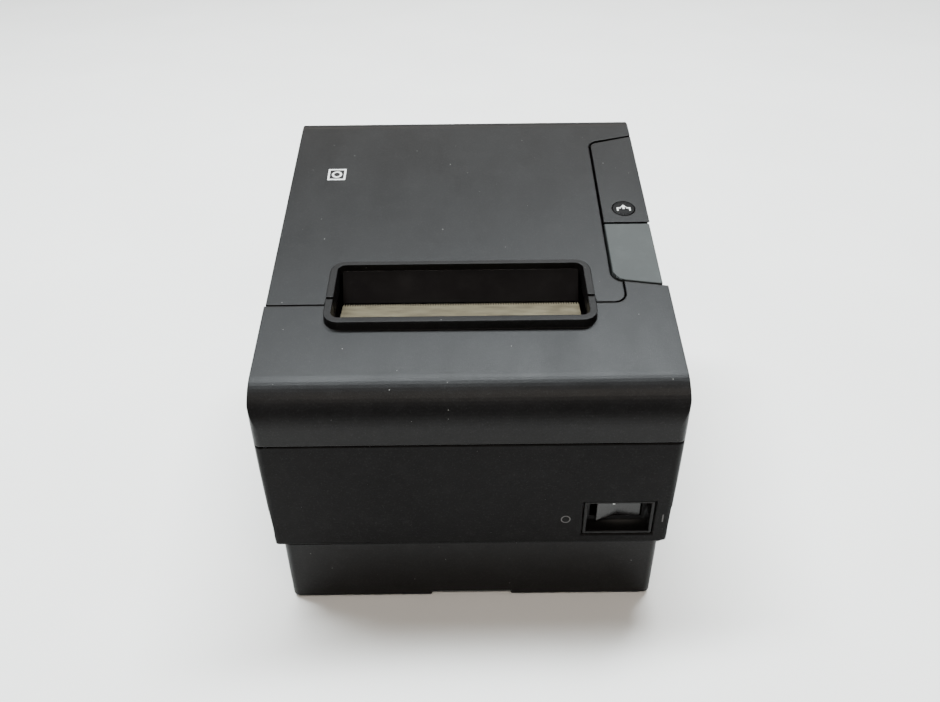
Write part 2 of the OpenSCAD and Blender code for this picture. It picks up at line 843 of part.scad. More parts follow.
// Sloping rear wall of the slot
module paper_guide() color(gloss)
  across(slot_x - 44, slot_x + 44)
    polygon([[-22.2, 109], [-28.8, 98.6], [-27.4, 98.4], [-22.2, 106.6]]);

// Inner frame of the cover, with ears for the platen
module cover_frame() color(dark) {
  difference() {
    for (x = [slot_x - roller_half - 2.8, slot_x + roller_half + 0.5])
      across(x, x + 2.3)
        polygon([[-30.5, 84], [-28, 80], [-20, 79.4], [-15, 84], [2, 104],
          [2, top_z(2) - 5.4], [-16, top_z(-16) - 5.4], [-21, 98], [-28, 92]]);
    x_bar(slot_x - 50, slot_x + 50, platen_y, platen_z, 4.5);
  }
  box([slot_x - roller_half - 2.8, -21.9, 96], [slot_x + roller_half + 2.8, -19.5, 101.5]);
  on_slope()
    translate([slot_x - 46, -18, -5.6])
      cube([92, 26, 3]);
}

// Drop-in paper bin
module paper_bin() color(dark) {
  x0 = slot_x - bin_w / 2;
  x1 = slot_x + bin_w / 2;
  difference() {
    intersection() {
      x_bar(x0 - bin_wall, x1 + bin_wall, bin_y, bin_z, bin_r + bin_wall);
      box([-60, -40, 20], [60, 90, bin_top]);
    }
    x_bar(x0, x1, bin_y, bin_z, bin_r);
  }
  // Flanges that rest on the case's ledges
  box([-66.6, 0, 70], [x0 - bin_wall + 0.5, 60, 72]);
  box([x1 + bin_wall - 0.5, 0, 70], [66.6, 60, 72]);
}

module near_end_sensor() color([0.1, 0.1, 0.1]) {
  box([slot_x - bin_w / 2 - bin_wall - 7, 22, 45], [slot_x - bin_w / 2 - bin_wall, 36, 58]);
  box([slot_x - bin_w / 2 - bin_wall - 10, 25, 48], [slot_x - bin_w / 2 - bin_wall - 7, 33, 55]);
}

module main_board() color(pcb_green) {
  difference() {
    box([-60, -12, board_z], [50, 79, board_z + board_t]);
    for (x = [-55, 45], y = [-6, 60])
      z_bar(x, y, 0, 20, 1.5);
  }
  // Chips, capacitors and plugs
  for (c = [[-20, 10, 14, 14, 1.5], [10, 5, 10, 8, 1.5], [10, 25, 18, 10, 2],
      [-45, 20, 8, 24, 5], [-38, -8, 24, 5, 6], [5, -9, 30, 5, 6], [-5, 42, 8, 8, 1.5]])
    box([c[0], c[1], board_z + board_t], [c[0] + c[2], c[1] + c[3], board_z + board_t + c[4]]);
  for (x = [30, 40], y = [18, 32])
    z_bar(x, y, board_z + board_t, board_z + board_t + 12, 4);
}

module buzzer() color(dark) {
  difference() {
    z_bar(-30, 52, board_z + board_t, board_z + board_t + 8, 6);
    z_bar(-30, 52, board_z + board_t + 6, board_z + board_t + 9, 1);
  }
}

// A connector shell on the board, with a socket in its rear face
module port(x, w, h, sw, sh, sz) {
  difference() {
    box([x - w / 2, port_y, board_z + board_t],
      [x + w / 2, plate_y + 1.4, board_z + board_t + h]);
    box([x - sw / 2, plate_y - 7, board_z + board_t + sz],
      [x + sw / 2, plate_y + 2, board_z + board_t + sz + sh]);
  }
}

module interface_plate() color(steel) {
  difference() {
    box([-66, plate_y - 0.2, 3.4], [66, plate_y + 1, 29.5]);
    for (p = [[-43, 17, 16], [-18, 15, 14.6], [4, 13.2, 12.4], [28, 17.4, 15]])
      box([p[0] - p[1] / 2 - 0.2, plate_y - 1, board_z + board_t - 3],
        [p[0] + p[1] / 2 + 0.2, plate_y + 2, board_z + board_t + p[2] + 0.2]);
    for (x = [-screw_x, screw_x])
      z_bar(x, screw_back_y, 0, 40, 4.6);
    for (x = [-56, 42])
      translate([x, plate_y + 3, 18])
        rotate([90, 0, 0])
          cylinder(h = 6, r = 1.5);
  }
}

module plate_screws() color(steel) {
  for (x = [-56, 42])
    translate([x, plate_y + 1, 18])
      rotate([-90, 0, 0]) {
        difference() {
          cylinder(h = 1.6, r = 2.8);
          for (a = [0, 90])
            rotate(a)
              translate([-1.6, -0.3, 0.8])
                cube([3.2, 0.6, 2]);
        }
        translate([0, 0, -5])
          cylinder(h = 5.2, r = 1.4);
      }
}

module power_inlet() color(dark) {
  y1 = plate_y + 1.4;
  difference() {
    box([-51.5, port_y, board_z + board_t], [-34.5, y1, board_z + board_t + 16]);
    translate([-43, y1 + 1, board_z + board_t + 8])
      rotate([90, 0, 0])
        difference() {
          cylinder(h = 9, r = 6);
          for (a = [30, 150, 270])
            rotate(a)
              translate([3, 0, 2])
                cylinder(h = 8, r = 0.6);
        }
  }
}

module drawer_port() color(dark)
  port(-18, 15, 14.6, 10, 8, 3);

module usb_port() color(steel)
  port(4, 13.2, 12.4, 8.6, 8, 2.2);

module ethernet_port() color(steel)
  port(28, 17.4, 15, 12, 8.4, 3);

module case_screws() color(steel) {
  at_case_screws()
    difference() {
      union() {
        z_bar(0, 0, foot_h + 1, foot_h + 3, 2.9);
        z_bar(0, 0, foot_h + 2, 42, 1.25);
      }
      for (a = [0, 90])
        rotate(a)
          box([-1.8, -0.35, 0], [1.8, 0.35, foot_h + 2]);
    }
}

module hinge_pin() color(steel)
  x_bar(-58.5, 58.5, hinge_y, hinge_z, hinge_pin_r);

module feet() color([0.08, 0.08, 0.08])
  for (x = [-54, 54], y = [-70, 70])
    difference() {
      z_bar(x, y, 0, foot_h, 6);
      z_bar(x, y, -1, 0.4, 3);
    }

base_tray();
main_case();
front_panel();
roll_cover();
side_tower();
control_panel();
feed_button();
panel_board();
cover_lever();
lever_pin();
lever_spring();
lock_hooks();
switch_housing();
power_rocker();
mech_frame();
thermal_head();
head_heatsink();
head_springs();
platen_roller();
platen_shaft();
platen_bushes();
platen_gear();
idler_gear();
motor_pinion();
feed_motor();
tear_bar();
cutter_frame();
cutter_blade();
cutter_motor();
fixed_blade();
paper_guide();
cover_frame();
paper_bin();
near_end_sensor();
main_board();
buzzer();
interface_plate();
plate_screws();
power_inlet();
drawer_port();
usb_port();
ethernet_port();
case_screws();
hinge_pin();
feet();
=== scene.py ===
"""Looks of a receipt printer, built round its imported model. Lengths are in metres."""

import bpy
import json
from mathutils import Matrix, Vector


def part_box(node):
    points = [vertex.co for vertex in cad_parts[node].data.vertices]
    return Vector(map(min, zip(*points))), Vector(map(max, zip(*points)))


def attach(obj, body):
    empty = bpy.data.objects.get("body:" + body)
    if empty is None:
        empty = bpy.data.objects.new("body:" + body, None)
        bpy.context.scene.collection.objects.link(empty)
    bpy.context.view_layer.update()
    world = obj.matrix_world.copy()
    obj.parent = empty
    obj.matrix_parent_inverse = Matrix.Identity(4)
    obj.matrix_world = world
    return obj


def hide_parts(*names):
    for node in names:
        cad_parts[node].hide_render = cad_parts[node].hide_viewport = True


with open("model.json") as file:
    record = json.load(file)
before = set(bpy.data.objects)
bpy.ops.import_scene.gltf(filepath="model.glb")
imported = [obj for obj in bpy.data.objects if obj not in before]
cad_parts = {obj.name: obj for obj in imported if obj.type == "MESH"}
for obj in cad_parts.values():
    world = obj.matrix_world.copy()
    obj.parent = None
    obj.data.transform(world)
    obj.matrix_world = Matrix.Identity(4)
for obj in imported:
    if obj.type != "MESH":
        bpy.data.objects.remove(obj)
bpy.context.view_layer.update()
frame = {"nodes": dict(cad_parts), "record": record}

import json
import math

import bmesh
import bpy
from mathutils import Matrix, Vector
from mathutils.bvhtree import BVHTree

MM = 0.001
MERGE = 0.04 * MM
RECORD = frame["record"]
BODY_OF = {n: b for b, nodes in RECORD["behaviour"]["bodies"].items() for n in nodes}
SLOT_OF = {s["node"]: s["material_slot"] for s in RECORD["subparts"]}

# The same driving sizes as the CAD model, in millimetres
SLOPE = math.radians(13.4)
FRONT_Y = -85.0
PANEL_T = 2.0
BUTTON_HALF_H = 2.45
BUTTON_PROUD = 0.1
ROCKER_X = 52.85
ROCKER_DEPTH = 8.0
ROCKER_TILT = math.radians(8.0)

# Where the prints sit, in millimetres
TAP_MARK_X = -53.8
TAP_MARK_Y = 32.0
SWITCH_MARK_Z = 42.0
OFF_RING_X = 34.0
ON_BAR_X = (68.45, 68.9)
ON_BAR_HALF_H = 1.8


def on_slope(x, u, h):
    """A point x across, u up the sloping top and h above it, in metres."""
    return Vector((x, u * math.cos(SLOPE) - h * math.sin(SLOPE),
                   top_z0() + u * math.sin(SLOPE) + h * math.cos(SLOPE))) * MM


def top_z0():
    """Height of the sloping top at the middle of the depth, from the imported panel."""
    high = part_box("control_panel")[1] / MM
    return high.z - math.tan(SLOPE) * (high.y - PANEL_T * math.sin(SLOPE))


# ---------------------------------------------------------------- materials


class Nodes:
    """A material under construction, with short calls for its nodes."""

    def __init__(self, name):
        self.mat = bpy.data.materials.new(name)
        self.mat.use_nodes = True
        self.tree = self.mat.node_tree
        self.shader = self.tree.nodes["Principled BSDF"]
        self.coords = self.add("ShaderNodeTexCoord").outputs["Object"]

    def add(self, kind, **settings):
        node = self.tree.nodes.new(kind)
        for key, value in settings.items():
            setattr(node, key, value)
        return node

    def link(self, source, socket):
        self.tree.links.new(source, socket)

    def noise(self, scale, detail=2.0, rough=0.5, stretch=None):
        node = self.add("ShaderNodeTexNoise")
        node.inputs["Scale"].default_value = scale
        node.inputs["Detail"].default_value = detail
        node.inputs["Roughness"].default_value = rough
        self.link(self.stretched(stretch), node.inputs["Vector"])
        return node.outputs["Fac"]

    def stretched(self, stretch):
        if stretch is None:
            return self.coords
        node = self.add("ShaderNodeMapping")
        node.inputs["Scale"].default_value = stretch
        self.link(self.coords, node.inputs["Vector"])
        return node.outputs["Vector"]

    def ramp(self, fac, stops):
        node = self.add("ShaderNodeValToRGB")
        ramp = node.color_ramp
        while len(ramp.elements) < len(stops):
            ramp.elements.new(0.5)
        for element, (place, colour) in zip(ramp.elements, stops):
            element.position = place
            element.color = (*colour, 1.0) if len(colour) == 3 else colour
        self.link(fac, node.inputs["Fac"])
        return node.outputs["Color"]

    def band(self, fac, low, high, out_low=0.0, out_high=1.0):
        node = self.add("ShaderNodeMapRange")
        for key, value in zip(("From Min", "From Max", "To Min", "To Max"),
                              (low, high, out_low, out_high)):
            node.inputs[key].default_value = value
        self.link(fac, node.inputs["Value"])
        return node.outputs["Result"]

    def math(self, operation, a, b):
        node = self.add("ShaderNodeMath", operation=operation)
        for socket, value in zip(node.inputs, (a, b)):
            if isinstance(value, (int, float)):
                socket.default_value = value
            else:
                self.link(value, socket)
        return node.outputs["Value"]

    def mix(self, fac, a, b):
        node = self.add("ShaderNodeMix", data_type="RGBA")
        self.link(fac, node.inputs["Factor"])
        for name, value in (("A", a), ("B", b)):
            socket = [s for s in node.inputs if s.name == name and s.type == "RGBA"][0]
            if isinstance(value, tuple):
                socket.default_value = (*value, 1.0)
            else:
                self.link(value, socket)
        return [s for s in node.outputs if s.type == "RGBA"][0]

    def bump(self, height, distance, strength=1.0, before=None):
        node = self.add("ShaderNodeBump")
        node.inputs["Strength"].default_value = strength
        node.inputs["Distance"].default_value = distance
        self.link(height, node.inputs["Height"])
        if before is not None:
            self.link(before, node.inputs["Normal"])
        return node.outputs["Normal"]

    def specks(self, scale, radius, share):
        """Small scattered dots: 1 inside a dot, on a share of the cells."""
        cell = self.add("ShaderNodeTexVoronoi")
        cell.inputs["Scale"].default_value = scale
        self.link(self.coords, cell.inputs["Vector"])
        split = self.add("ShaderNodeSeparateColor")
        self.link(cell.outputs["Color"], split.inputs["Color"])
        chosen = self.math("LESS_THAN", split.outputs["Red"], share)
        size = self.math("MULTIPLY", split.outputs["Green"], radius)
        dot = self.math("LESS_THAN", cell.outputs["Distance"], size)
        return self.math("MULTIPLY", dot, chosen)

    def rounded(self, radius):
        """The surface's normal, turned gently over edges as on a moulding of that radius."""
        node = self.add("ShaderNodeBevel", samples=6)
        node.inputs["Radius"].default_value = radius
        return node.outputs["Normal"]

    def set(self, **values):
        for key, value in values.items():
            socket = self.shader.inputs[key.replace("_", " ")]
            if hasattr(value, "is_linked"):
                self.link(value, socket)
            else:
                socket.default_value = (*value, 1.0) if isinstance(value, tuple) else value


def moulded(name, dark, light, rough=(0.36, 0.42), grain=2600.0, depth=0.00004, dust=0.16,
            specular=0.13, edge=0.0):
    """Injection-moulded plastic: spark-eroded grain, handling marks and settled dust."""
    n = Nodes(name)
    cloud = n.noise(22.0, 4.0)
    base = n.ramp(cloud, [(0.3, dark), (0.7, light)])
    grime = n.band(n.noise(150.0, 6.0, 0.7), 0.5, 0.8, 0.0, 0.3)
    base = n.mix(grime, base, tuple(c * 1.6 + 0.006 for c in light))
    if dust:
        powder = n.band(n.noise(1700.0, 3.0, 0.75), 0.55, 0.8, 0.0, dust)
        base = n.mix(powder, base, (0.085, 0.085, 0.084))
        base = n.mix(n.specks(420.0, 0.09, dust), base, (0.20, 0.20, 0.19))
        base = n.mix(n.specks(130.0, 0.055, dust * 0.4), base, (0.42, 0.41, 0.39))
    smear = n.noise(60.0, 3.0, 0.6, (1.0, 0.35, 1.0))
    fine = n.noise(grain, 2.0, 0.6)
    mid = n.noise(grain * 0.32, 2.0, 0.5)
    normal = n.bump(fine, depth, 1.0, n.rounded(edge) if edge else None)
    normal = n.bump(mid, depth * 0.8, 0.7, normal)
    n.set(Base_Color=base, Roughness=n.band(smear, 0.35, 0.7, rough[0], rough[1]), Normal=normal)
    n.shader.inputs["Specular IOR Level"].default_value = specular
    return n.mat


def sheet_metal(name, colour, rough=(0.25, 0.42), stretch=(1.0, 12.0, 12.0), metal=1.0):
    """Rolled or brushed metal with faint lines and stains."""
    n = Nodes(name)
    lines = n.noise(900.0, 3.0, 0.6, stretch)
    stain = n.noise(70.0, 4.0)
    base = n.ramp(stain, [(0.3, tuple(c * 0.82 for c in colour)), (0.7, colour)])
    n.set(Base_Color=base, Roughness=n.band(lines, 0.3, 0.7, rough[0], rough[1]),
          Normal=n.bump(lines, 0.00002), Metallic=metal)
    return n.mat


def tear_steel_painted_reflection():
    """Satin steel with scuffs and a few dark flecks of old paper dust; its warm cream tint is a
    painted reflection of a cream surface nearby.
    """
    n = Nodes("tear_steel_painted_reflection")
    scuff = n.noise(420.0, 4.0, 0.7, (0.25, 1.0, 1.0))
    # warm brown-to-cream colours: a painted reflection of a cream surface in the steel, varied by
    # real scuffs
    base = n.ramp(scuff, [(0.28, (0.045, 0.035, 0.018)), (0.5, (0.078, 0.064, 0.035)),
                         (0.8, (0.115, 0.099, 0.060))])
    base = n.mix(n.specks(330.0, 0.16, 0.12), base, (0.12, 0.09, 0.05))
    n.set(Base_Color=base, Roughness=n.band(scuff, 0.3, 0.7, 0.42, 0.6), Metallic=0.35,
          Normal=n.bump(scuff, 0.00003))
    return n.mat


def rubber(name, dark, light):
    n = Nodes(name)
    base = n.ramp(n.noise(300.0, 4.0), [(0.35, dark), (0.7, light)])
    fine = n.noise(3800.0, 2.0)
    n.set(Base_Color=base, Roughness=n.band(n.noise(80.0), 0.3, 0.7, 0.72, 0.88),
          Normal=n.bump(fine, 0.00003))
    return n.mat


def circuit_board():
    """Solder mask over faint copper tracks."""
    n = Nodes("circuit_board")
    brick = n.add("ShaderNodeTexBrick")
    brick.inputs["Scale"].default_value = 260.0
    brick.inputs["Mortar Size"].default_value = 0.06
    brick.inputs["Color1"].default_value = (0.010, 0.095, 0.040, 1)
    brick.inputs["Color2"].default_value = (0.014, 0.115, 0.052, 1)
    brick.inputs["Mortar"].default_value = (0.045, 0.20, 0.085, 1)
    n.link(n.coords, brick.inputs["Vector"])
    pads = n.mix(n.specks(520.0, 0.3, 0.3), brick.outputs["Color"], (0.45, 0.42, 0.30))
    n.set(Base_Color=pads, Roughness=n.band(n.noise(200.0), 0.3, 0.7, 0.28, 0.42),
          Normal=n.bump(brick.outputs["Fac"], 0.00003))
    return n.mat


def printed(name, colour):
    """Pad-printed ink, a little worn."""
    n = Nodes(name)
    wear = n.noise(1500.0, 4.0, 0.7)
    base = n.ramp(wear, [(0.28, tuple(c * 0.55 for c in colour)), (0.5, colour)])
    n.set(Base_Color=base, Roughness=n.band(wear, 0.3, 0.7, 0.5, 0.65),
          Normal=n.bump(wear, 0.00001))
    return n.mat


def floor_paper():
    """Pale floor with a faint tone change."""
    n = Nodes("floor_paper")
    base = n.ramp(n.noise(9.0, 5.0), [(0.3, (0.88, 0.865, 0.84)), (0.7, (0.92, 0.905, 0.88))])
    n.set(Base_Color=base, Roughness=0.75)
    return n.mat


BLACK = (0.0030, 0.0027, 0.0028)
BLACK_LIGHT = (0.0044, 0.0040, 0.0041)
MATERIALS = {
    "shell": moulded("textured_black", BLACK, BLACK_LIGHT),
    "case_shell": moulded("textured_black_case", BLACK, BLACK_LIGHT, specular=0.05),
    "rounded_shell": moulded("textured_black_rounded", BLACK, BLACK_LIGHT, edge=0.6 * MM),
    "dark": moulded("plain_black", BLACK, (0.0050, 0.0046, 0.0046), (0.34, 0.46), 1800.0,
                    0.00002, 0.05),
    "gloss": moulded("gloss_black", (0.0022, 0.0015, 0.0015), (0.004, 0.003, 0.0028), (0.14, 0.24),
                     500.0, 0.000006, 0.03, 0.3),
    "lever": moulded("lever_grey", (0.028, 0.031, 0.030), (0.033, 0.036, 0.035), (0.42, 0.5), 2600.0,
                     0.00003, 0.05),
    "steel": sheet_metal("steel", (0.52, 0.53, 0.55)),
    "tear_steel": tear_steel_painted_reflection(),
    "blued": sheet_metal("blued_steel", (0.030, 0.026, 0.024), (0.3, 0.42)),
    "alu": sheet_metal("aluminium", (0.70, 0.71, 0.72), (0.32, 0.5)),
    "rubber": rubber("black_rubber", (0.014, 0.014, 0.014), (0.03, 0.03, 0.03)),
    "nylon": moulded("natural_nylon", (0.58, 0.56, 0.50), (0.66, 0.65, 0.60), (0.4, 0.55), 900.0,
                     0.00002, 0.0),
    "brass": sheet_metal("brass", (0.62, 0.47, 0.20)),
    "pcb": circuit_board(),
    "ceramic": moulded("glazed_ceramic", (0.50, 0.47, 0.41), (0.60, 0.57, 0.51), (0.15, 0.3), 500.0,
                       0.000005, 0.0),
}
INK = printed("white_ink", (0.62, 0.62, 0.60))
FAINT_INK = printed("faint_ink", (0.050, 0.046, 0.044))

# ---------------------------------------------------------------- pieces


def new_piece(name, mesh, body, material):
    """Puts a mesh in the scene as a piece that rides on a body."""
    piece = bpy.data.objects.new(name, mesh)
    bpy.context.scene.collection.objects.link(piece)
    piece.data.materials.clear()
    piece.data.materials.append(material)
    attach(piece, body)
    return piece


def smooth_by_angle(mesh, limit):
    """Smooth shading, with edges sharper than the limit kept crisp."""
    bm = bmesh.new()
    bm.from_mesh(mesh)
    for face in bm.faces:
        face.smooth = True
    for edge in bm.edges:
        edge.smooth = len(edge.link_faces) == 2 and edge.calc_face_angle(0.0) < limit
    bm.to_mesh(mesh)
    bm.free()


# CAD nodes with a finish that differs from the rest of their slot
OWN_MATERIAL = {"front_panel": "rounded_shell", "roll_cover": "rounded_shell",
                "control_panel": "rounded_shell", "main_case": "case_shell",
                "feed_button": "case_shell", "fixed_blade": "blued"}
# Shells whose lowest rim stays crisp, because it meets the case at a narrow gap
CRISP_BELOW = ("side_tower",)
# Shells whose long faces are cut near the corners, so that the shading between stays even
LONG_SHELLS = ("main_case", "base_tray", "paper_bin")
CORNER = 5.0


def cut_near_corners(bm):
    """Splits faces along planes a corner's width inside the mesh's box."""
    for axis in range(3):
        values = [vert.co[axis] for vert in bm.verts]
        low, high = min(values), max(values)
        normal = Vector([1.0 if k == axis else 0.0 for k in range(3)])
        for place in (low + CORNER * MM, high - CORNER * MM):
            bmesh.ops.bisect_plane(bm, geom=bm.verts[:] + bm.edges[:] + bm.faces[:],
                                   plane_co=normal * place, plane_no=normal, dist=0.01 * MM)


def face_width(face, edge):
    """How far a face reaches from one of its edges, about."""
    return face.calc_area() / max(edge.calc_length(), 0.5 * MM)


def faces_out(edge, tree):
    """Whether an edge is an outer one: convex, and with nothing of the same piece before it."""
    if len(edge.link_faces) != 2 or not edge.is_convex:
        return False
    out = edge.link_faces[0].normal + edge.link_faces[1].normal
    if out.length < 0.1:
        return False
    out.normalize()
    middle = (edge.verts[0].co + edge.verts[1].co) / 2
    return tree.ray_cast(middle + out * 0.2 * MM, out, 0.3)[0] is None


def clean_copy(node, radius, angle):
    """A copy of a CAD node's mesh, with flat faces joined up and outer edges weighted for a bevel.

    An edge beside a narrow face gets a smaller weight, so that its bevel fits there.
    """
    mesh = frame["nodes"][node].data.copy()
    bm = bmesh.new()
    bm.from_mesh(mesh)
    bmesh.ops.remove_doubles(bm, verts=bm.verts, dist=MERGE)
    bmesh.ops.dissolve_degenerate(bm, edges=bm.edges, dist=MERGE)
    bmesh.ops.dissolve_limit(bm, angle_limit=math.radians(0.6), verts=bm.verts, edges=bm.edges,
                             delimit={"NORMAL"})
    if node in LONG_SHELLS:
        cut_near_corners(bm)
    weight = bm.edges.layers.float.new("bevel_weight_edge")
    bm.normal_update()
    tree = BVHTree.FromBMesh(bm)
    low_z = min(vert.co.z for vert in bm.verts)
    for edge in bm.edges:
        if node in CRISP_BELOW and max(vert.co.z for vert in edge.verts) < low_z + 0.15 * MM:
            continue
        if edge.calc_face_angle(0.0) > math.radians(angle) and faces_out(edge, tree):
            room = min(face_width(face, edge) for face in edge.link_faces)
            if room < 0.8 * radius * MM:
                continue
            edge[weight] = min(1.0, 0.4 * room / (radius * MM))
    bm.to_mesh(mesh)
    bm.free()
    return mesh


def soften(node, radius, segments=3, angle=28.0):
    """Replaces a CAD node by the same shape with moulded or broken edges."""
    mesh = clean_copy(node, radius, angle)
    piece = new_piece(node + "_soft", mesh, BODY_OF[node], material_of(node))
    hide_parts(node)
    bevel = piece.modifiers.new("edges", "BEVEL")
    bevel.width = radius * MM
    bevel.segments = segments
    bevel.limit_method = "WEIGHT"
    bevel.use_clamp_overlap = False
    smooth_by_angle(piece.data, math.radians(24))
    normals = piece.modifiers.new("normals", "WEIGHTED_NORMAL")
    normals.keep_sharp = False
    return piece


def material_of(node):
    return MATERIALS[OWN_MATERIAL.get(node, SLOT_OF[node])]


def set_materials():
    """Gives every CAD node its slot's material, or one of its own."""
    for node, obj in frame["nodes"].items():
        obj.data.materials.clear()
        obj.data.materials.append(material_of(node))


def flat_mark(name, outlines, place, body, material, thick=0.03):
    """A thin raised print: outlines in millimetres, set down by place(x, y, height)."""
    bm = bmesh.new()
    for outline in outlines:
        low = [bm.verts.new(place(x, y, 0.005)) for x, y in outline]
        high = [bm.verts.new(place(x, y, 0.005 + thick)) for x, y in outline]
        bm.faces.new(list(reversed(low)))
        bm.faces.new(high)
        count = len(outline)
        for i in range(count):
            j = (i + 1) % count
            bm.faces.new((low[i], low[j], high[j], high[i]))
    bmesh.ops.recalc_face_normals(bm, faces=bm.faces)
    mesh = bpy.data.meshes.new(name)
    bm.to_mesh(mesh)
    bm.free()
    return new_piece(name, mesh, body, material)


def arc_band(cx, cy, r0, r1, a0, a1, steps=24):
    """Outline of a curved stroke between two radii, angles in degrees."""
    def points(radius, first, last):
        return [(cx + radius * math.cos(math.radians(first + (last - first) * i / steps)),
                 cy + radius * math.sin(math.radians(first + (last - first) * i / steps)))
                for i in range(steps + 1)]
    return points(r1, a0, a1) + points(r0, a1, a0)


def coil(name, turns, radius, wire, start, axis, length, body, slot, replaced=()):
    """A round-wire coil spring with closed ends."""
    axis = Vector(axis).normalized()
    side = axis.orthogonal().normalized()
    up = axis.cross(side)
    steps, ring = turns * 20, 8
    bm = bmesh.new()
    rings = []
    centres = []
    for i in range(steps + 1):
        t = i / steps
        rise = min(max((t - 0.12) / 0.76, 0.0), 1.0)
        angle = 2 * math.pi * turns * t
        centres.append(Vector(start) + axis * (wire + (length - 2 * wire) * rise)
                       + (side * math.cos(angle) + up * math.sin(angle)) * radius)
    for i, centre in enumerate(centres):
        ahead = centres[min(i + 1, steps)] - centres[max(i - 1, 0)]
        ahead.normalize()
        out = (ahead.cross(axis)).normalized()
        lift = ahead.cross(out)
        rings.append([bm.verts.new(centre + (out * math.cos(2 * math.pi * k / ring)
                                             + lift * math.sin(2 * math.pi * k / ring)) * wire)
                      for k in range(ring)])
    for a, b in zip(rings, rings[1:]):
        for k in range(ring):
            bm.faces.new((a[k], a[(k + 1) % ring], b[(k + 1) % ring], b[k]))
    bm.faces.new(rings[0])
    bm.faces.new(rings[-1])
    bmesh.ops.recalc_face_normals(bm, faces=bm.faces)
    mesh = bpy.data.meshes.new(name)
    bm.to_mesh(mesh)
    bm.free()
    smooth_by_angle(mesh, math.radians(60))
    piece = new_piece(name, mesh, body, MATERIALS[slot])
    if replaced:
        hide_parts(*replaced)
    return piece


# ---------------------------------------------------------------- camera, light and floor


def place_camera():
    """The camera looks down at the front, a little rolled."""
    pitch, roll = math.radians(35.0), math.radians(-0.65)
    level = Vector((1, 0, 0))
    ahead = Vector((0, math.cos(pitch), -math.sin(pitch)))
    upright = level.cross(ahead)
    right = level * math.cos(roll) + upright * math.sin(roll)
    up = upright * math.cos(roll) - level * math.sin(roll)
    data = bpy.data.cameras.new("camera")
    data.sensor_width = 36.0
    data.lens = 32.55319
    data.clip_start = 0.01
    camera = bpy.data.objects.new("camera", data)
    place = Vector((0.5, -299.0, 265.7)) * MM
    camera.matrix_world = Matrix((
        (right.x, up.x, -ahead.x, place.x), (right.y, up.y, -ahead.y, place.y),
        (right.z, up.z, -ahead.z, place.z), (0, 0, 0, 1)))
    bpy.context.scene.collection.objects.link(camera)
    bpy.context.scene.camera = camera


def area_light(name, place, target, size, power, colour=(1, 1, 1)):
    data = bpy.data.lights.new(name, "AREA")
    data.shape = "RECTANGLE"
    data.size, data.size_y = size
    data.energy = power
    data.color = colour
    lamp = bpy.data.objects.new(name, data)
    lamp.location = place
    lamp.rotation_euler = (Vector(target) - Vector(place)).to_track_quat("-Z", "Y").to_euler()
    bpy.context.scene.collection.objects.link(lamp)


def light_and_floor():
    area_light("ceiling", (-0.1, 0.36, 1.45), (0, -0.05, 0.1), (1.5, 0.26), 82.0, (0.90, 0.97, 1.0))
    area_light("back_wall", (0.0, 1.5, 1.1), (0, 0, 0.1), (1.8, 0.8), 9.0, (1.0, 0.95, 0.88))
    area_light("front_strip", (0.1, -0.85, 1.25), (0, 0, 0.1), (1.2, 0.06), 9.0, (1.0, 0.9, 0.78))
    world = bpy.data.worlds.new("studio")
    world.use_nodes = True
    world.node_tree.nodes["Background"].inputs["Color"].default_value = (0.82, 0.81, 0.80, 1)
    world.node_tree.nodes["Background"].inputs["Strength"].default_value = 0.27
    bpy.context.scene.world = world
    mesh = bpy.data.meshes.new("floor")
    half = 3.0
    mesh.from_pydata([(-half, -half, 0), (half, -half, 0), (half, half, 0), (-half, half, 0)], [],
                     [(0, 1, 2, 3)])
    floor = bpy.data.objects.new("floor", mesh)
    mesh.materials.append(floor_paper())
    bpy.context.scene.collection.objects.link(floor)


# ---------------------------------------------------------------- the object

SOFT_EDGES = {
    "base_tray": 0.7, "main_case": 0.8, "side_tower": 0.4,
    "cover_lever": 0.5, "feed_button": 0.3, "switch_housing": 0.4,
    "power_rocker": 0.5, "paper_guide": 0.2, "cover_frame": 0.3, "paper_bin": 0.4, "feet": 0.3,
    "power_inlet": 0.3, "drawer_port": 0.25, "usb_port": 0.25, "ethernet_port": 0.25,
    "interface_plate": 0.15, "plate_screws": 0.12, "case_screws": 0.12, "lock_hooks": 0.15,
    "platen_bushes": 0.15, "head_heatsink": 0.12, "cutter_motor": 0.3, "feed_motor": 0.5,
    "near_end_sensor": 0.3, "buzzer": 0.4, "mech_frame": 0.15, "platen_roller": 0.3,
    "hinge_pin": 0.2, "platen_shaft": 0.2, "motor_pinion": 0.08, "platen_gear": 0.08,
    "idler_gear": 0.08, "cutter_frame": 0.15, "thermal_head": 0.1,
}


def on_front(x, z, h):
    """A point on the flat front face."""
    return Vector((x, FRONT_Y - h, z)) * MM


def dressed_springs():
    """Real coils in place of the CAD's plain spring bodies."""
    low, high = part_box("head_springs")
    mid_x, mid_z = (low.x + high.x) / 2, (low.z + high.z) / 2
    for i, offset in enumerate((-28.0, 0.0, 28.0)):
        coil("head_spring_%d" % i, 6, 2.0 * MM, 0.4 * MM, (mid_x + offset * MM, high.y, mid_z),
             (0, -1, 0), high.y - low.y, "case", "steel", ("head_springs",) if i == 0 else ())
    low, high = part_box("lever_spring")
    middle = (low + high) / 2
    coil("lever_coil", 6, 1.45 * MM, 0.32 * MM, (low.x, middle.y, middle.z), (1, 0, 0),
         high.x - low.x, "case", "steel", ("lever_spring",))


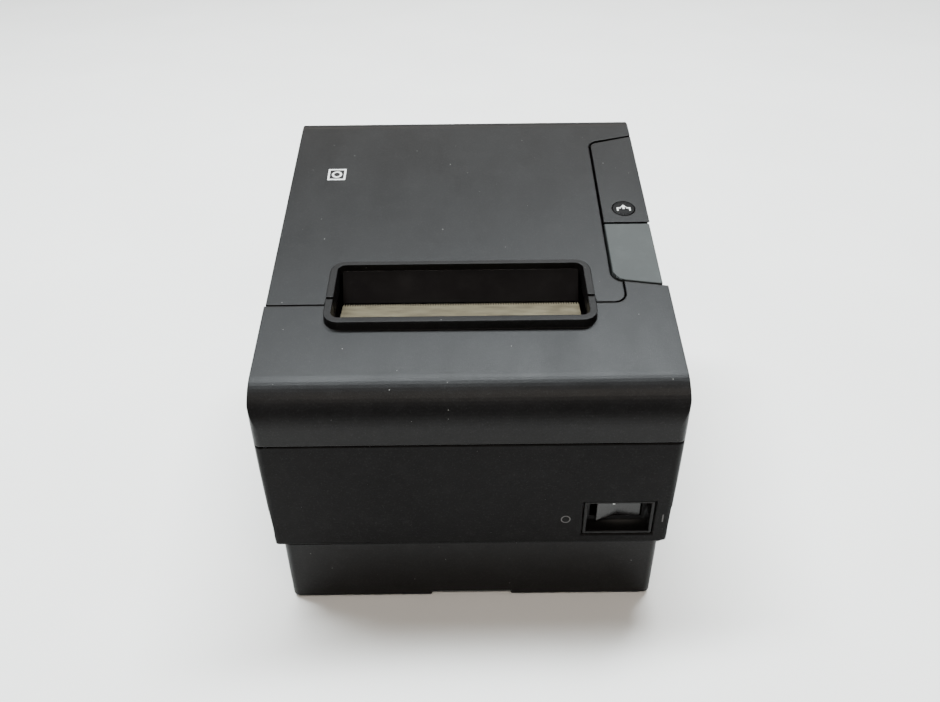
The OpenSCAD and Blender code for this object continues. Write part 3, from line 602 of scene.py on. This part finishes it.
def feed_icon():
    """An up arrow between two arms, printed on the feed button."""
    low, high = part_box("feed_button")
    x0 = (low.x + high.x) / 2 / MM
    u0 = ((low.y + high.y) / 2 / MM - BUTTON_HALF_H * math.sin(SLOPE)) / math.cos(SLOPE)

    def place(x, y, h):
        return on_slope(x0 + x, u0 + y, h + BUTTON_PROUD)
    arrow = [(-0.4, -0.5), (0.4, -0.5), (0.4, 0.7), (1.25, 0.7), (0, 2.1), (-1.25, 0.7),
             (-0.4, 0.7)]
    arm = [(-1.05, -0.1), (-1.05, 0.5), (-2.7, 0.5), (-2.7, -1.5), (-2.1, -1.5), (-2.1, -0.1)]
    other = [(-x, y) for x, y in reversed(arm)]
    flat_mark("feed_icon", [arrow, arm, other], place, "button", INK)


def tap_mark():
    """A plain round target in a square frame, on the roll cover."""
    def place(x, y, h):
        return on_slope(TAP_MARK_X + x, TAP_MARK_Y / math.cos(SLOPE) + y, h)
    outer, inner = 3.7, 2.9
    frame_sides = [
        [(-outer, -outer), (outer, -outer), (outer, -inner), (-outer, -inner)],
        [(-outer, inner), (outer, inner), (outer, outer), (-outer, outer)],
        [(-outer, -inner), (-inner, -inner), (-inner, inner), (-outer, inner)],
        [(inner, -inner), (outer, -inner), (outer, inner), (inner, inner)],
    ]
    halves = [arc_band(0, 0, 1.25, 2.1, 0, 180), arc_band(0, 0, 1.25, 2.1, 180, 360)]
    flat_mark("tap_mark", frame_sides + halves, place, "cover", INK)


def switch_marks():
    """A ring and a bar on either side of the switch."""
    z = SWITCH_MARK_Z
    ring = [arc_band(OFF_RING_X, z, 1.35, 1.75, a, a + 180) for a in (0, 180)]
    left, right = ON_BAR_X
    bar = [(left, z - ON_BAR_HALF_H), (right, z - ON_BAR_HALF_H),
           (right, z + ON_BAR_HALF_H), (left, z + ON_BAR_HALF_H)]
    flat_mark("switch_marks", ring + [bar], on_front, "case", FAINT_INK)


def rocker_painted_glint():
    """White disc on the raised half of the rocker, by its ridge: a painted highlight where light
    glints on the rocker's edge.
    """
    low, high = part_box("power_rocker")
    z0 = (low.z + high.z) / 2 / MM
    half_tilt = ROCKER_TILT + math.atan2(1.7, 8.3)
    along = Vector((math.cos(half_tilt), math.sin(half_tilt), 0))
    out = Vector((math.sin(half_tilt), -math.cos(half_tilt), 0))
    ridge = Vector((ROCKER_X + 2.8 * math.sin(ROCKER_TILT),
                    FRONT_Y + ROCKER_DEPTH - 2.8 * math.cos(ROCKER_TILT), z0 + 1.6))

    def place(x, z, h):
        return (ridge + Vector((0, 0, z)) + along * (x - 1.6) + out * h) * MM
    disc = [(0.55 * math.cos(math.radians(a)), 0.5 * math.sin(math.radians(a)))
            for a in range(0, 360, 20)]
    # painted highlight: a white ink disc stands in for the glint of light on the rocker's edge
    flat_mark("rocker_painted_glint", [disc], place, "rocker", INK, 0.12)


def build():
    set_materials()
    for node, radius in SOFT_EDGES.items():
        soften(node, radius)
    dressed_springs()
    feed_icon()
    tap_mark()
    switch_marks()
    rocker_painted_glint()


place_camera()
light_and_floor()
build()
bpy.context.view_layer.update()
